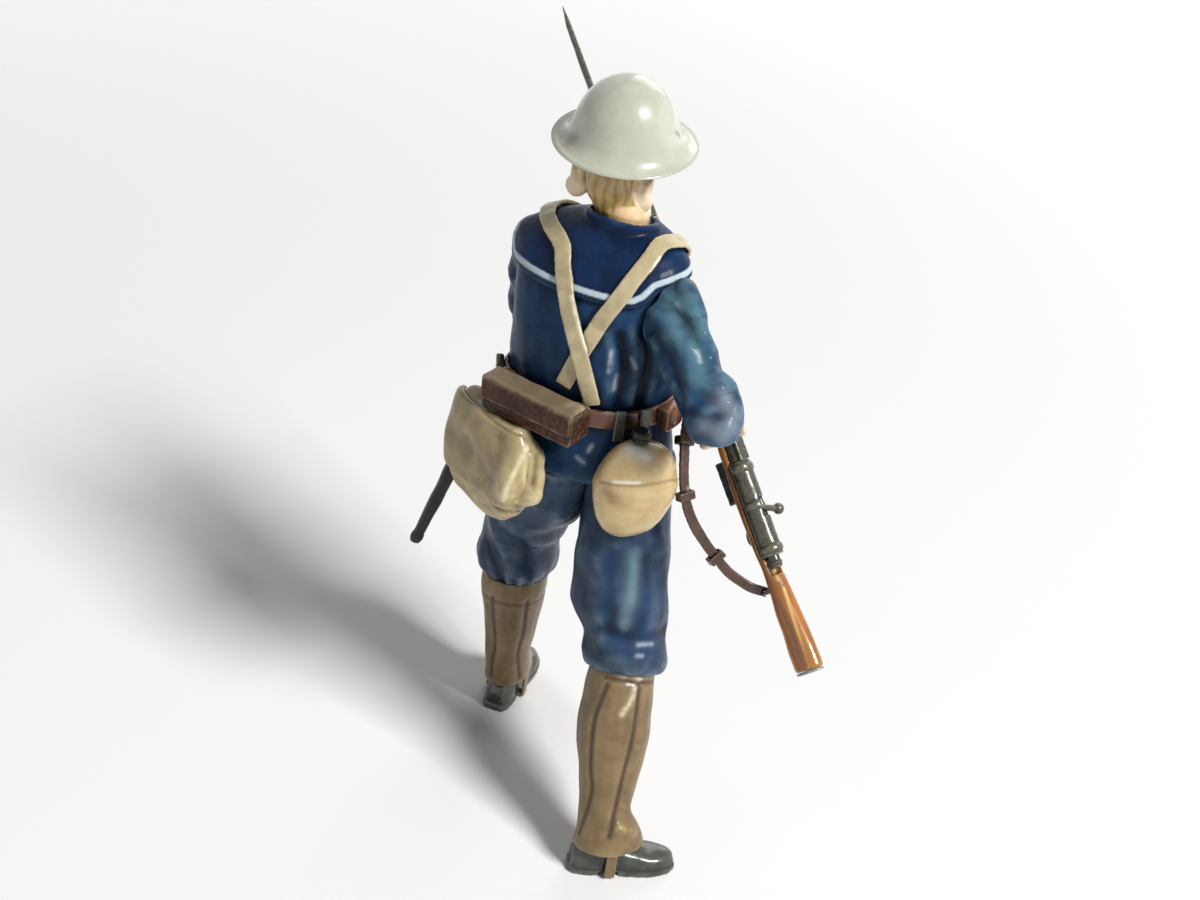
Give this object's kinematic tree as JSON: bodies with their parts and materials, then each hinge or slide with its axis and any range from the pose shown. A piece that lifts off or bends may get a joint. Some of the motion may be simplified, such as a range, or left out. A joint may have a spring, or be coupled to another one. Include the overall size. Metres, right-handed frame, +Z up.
{
  "type": "toy soldier figure",
  "caption": "Painted metal toy soldier: a sailor of a landing party stepping forward on guard, with steel helmet, belt equipment and a slung rifle with fixed bayonet.",
  "frame": {"origin": "on the ground under the middle of the figure's bounding box", "axes": "+Z up, the figure steps forward towards -Y, its left hand side is +X"},
  "size_m": [0.0301, 0.0314, 0.0561],
  "materials": {
    "jumper": "hand-painted enamel with brown wash and light dry-brushing, under gloss varnish",
    "collar": "hand-painted enamel with brown wash and light dry-brushing, under gloss varnish",
    "skin": "hand-painted enamel with brown wash and light dry-brushing, under gloss varnish",
    "trousers": "hand-painted enamel with brown wash and light dry-brushing, under gloss varnish",
    "gaiters": "hand-painted enamel with brown wash and light dry-brushing, under gloss varnish",
    "boots": "hand-painted enamel with brown wash and light dry-brushing, under gloss varnish",
    "helmet": "hand-painted enamel with brown wash and light dry-brushing, under gloss varnish",
    "belt": "hand-painted enamel with brown wash and light dry-brushing, under gloss varnish",
    "clasp": "hand-painted enamel with brown wash and light dry-brushing, under gloss varnish",
    "braces": "hand-painted enamel with brown wash and light dry-brushing, under gloss varnish",
    "boxes": "hand-painted enamel with brown wash and light dry-brushing, under gloss varnish",
    "canvas": "hand-painted enamel with brown wash and light dry-brushing, under gloss varnish",
    "bottle": "hand-painted enamel with brown wash and light dry-brushing, under gloss varnish",
    "black": "hand-painted enamel with brown wash and light dry-brushing, under gloss varnish",
    "rifle_wood": "hand-painted enamel with brown wash and light dry-brushing, under gloss varnish",
    "gunmetal": "hand-painted enamel with brown wash and light dry-brushing, under gloss varnish",
    "butt_plate": "hand-painted enamel with brown wash and light dry-brushing, under gloss varnish",
    "sling": "hand-painted enamel with brown wash and light dry-brushing, under gloss varnish"
  },
  "bodies": {
    "figure": {"torso": "jumper", "left_sleeve": "jumper", "right_sleeve": "jumper", "sailor_collar": "collar", "left_forearm": "skin", "right_forearm": "skin", "left_trouser_leg": "trousers", "right_trouser_leg": "trousers", "left_gaiter": "gaiters", "right_gaiter": "gaiters", "left_instep_strap": "gaiters", "right_instep_strap": "gaiters", "left_boot": "boots", "right_boot": "boots", "waist_belt": "belt", "belt_clasp": "clasp", "left_brace": "braces", "right_brace": "braces", "cartridge_box": "boxes", "cartridge_box_lid": "boxes", "hip_pouch": "boxes", "scabbard_frog": "boxes", "haversack": "canvas", "haversack_flap": "canvas", "water_bottle": "bottle", "bottle_stopper": "black", "bottle_carrier": "black", "scabbard": "black", "rifle_stock": "rifle_wood", "rifle_handguard": "rifle_wood", "bayonet_hilt": "rifle_wood", "rifle_receiver": "gunmetal", "rifle_barrel": "gunmetal", "rifle_bolt": "gunmetal", "rifle_magazine": "gunmetal", "trigger_guard": "gunmetal", "rear_sight": "gunmetal", "nose_cap": "gunmetal", "bayonet_blade": "gunmetal", "sling_swivels": "gunmetal", "butt_plate": "butt_plate", "rifle_sling": "sling", "sling_keepers": "sling"},
    "head": {"head": "skin", "helmet": "helmet"}
  },
  "joints": [
    {"name": "neck_turn", "type": "hinge", "parent": "figure", "child": "head", "pos_m": [0.00281, 0.00215, 0.046], "axis": [0, 0, 1], "range_deg": [-48, 72]}
  ]
}
